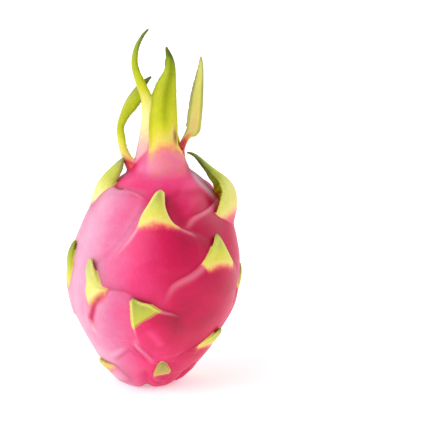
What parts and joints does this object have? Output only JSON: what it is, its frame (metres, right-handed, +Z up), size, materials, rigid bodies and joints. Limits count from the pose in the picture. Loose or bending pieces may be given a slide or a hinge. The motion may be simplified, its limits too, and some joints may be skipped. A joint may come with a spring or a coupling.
{
  "type": "dragon fruit",
  "caption": "Whole ripe red dragon fruit standing upright: pink egg-shaped body with raised green-tipped scales and a tall crown of curved yellow-green bracts.",
  "frame": {"origin": "centre of the small flat spot that the fruit stands on", "axes": "+Z up from the resting spot to the crown, -Y the side that shows the most scales, +X to the right of that side"},
  "size_m": [0.0872, 0.0917, 0.1789],
  "materials": {
    "dragon_fruit_skin": "waxy satin fruit skin, pink to crimson, with yellow-green scale tips and crown bracts"
  },
  "bodies": {
    "root": {"dragon_fruit": "dragon_fruit_skin"}
  },
  "joints": []
}
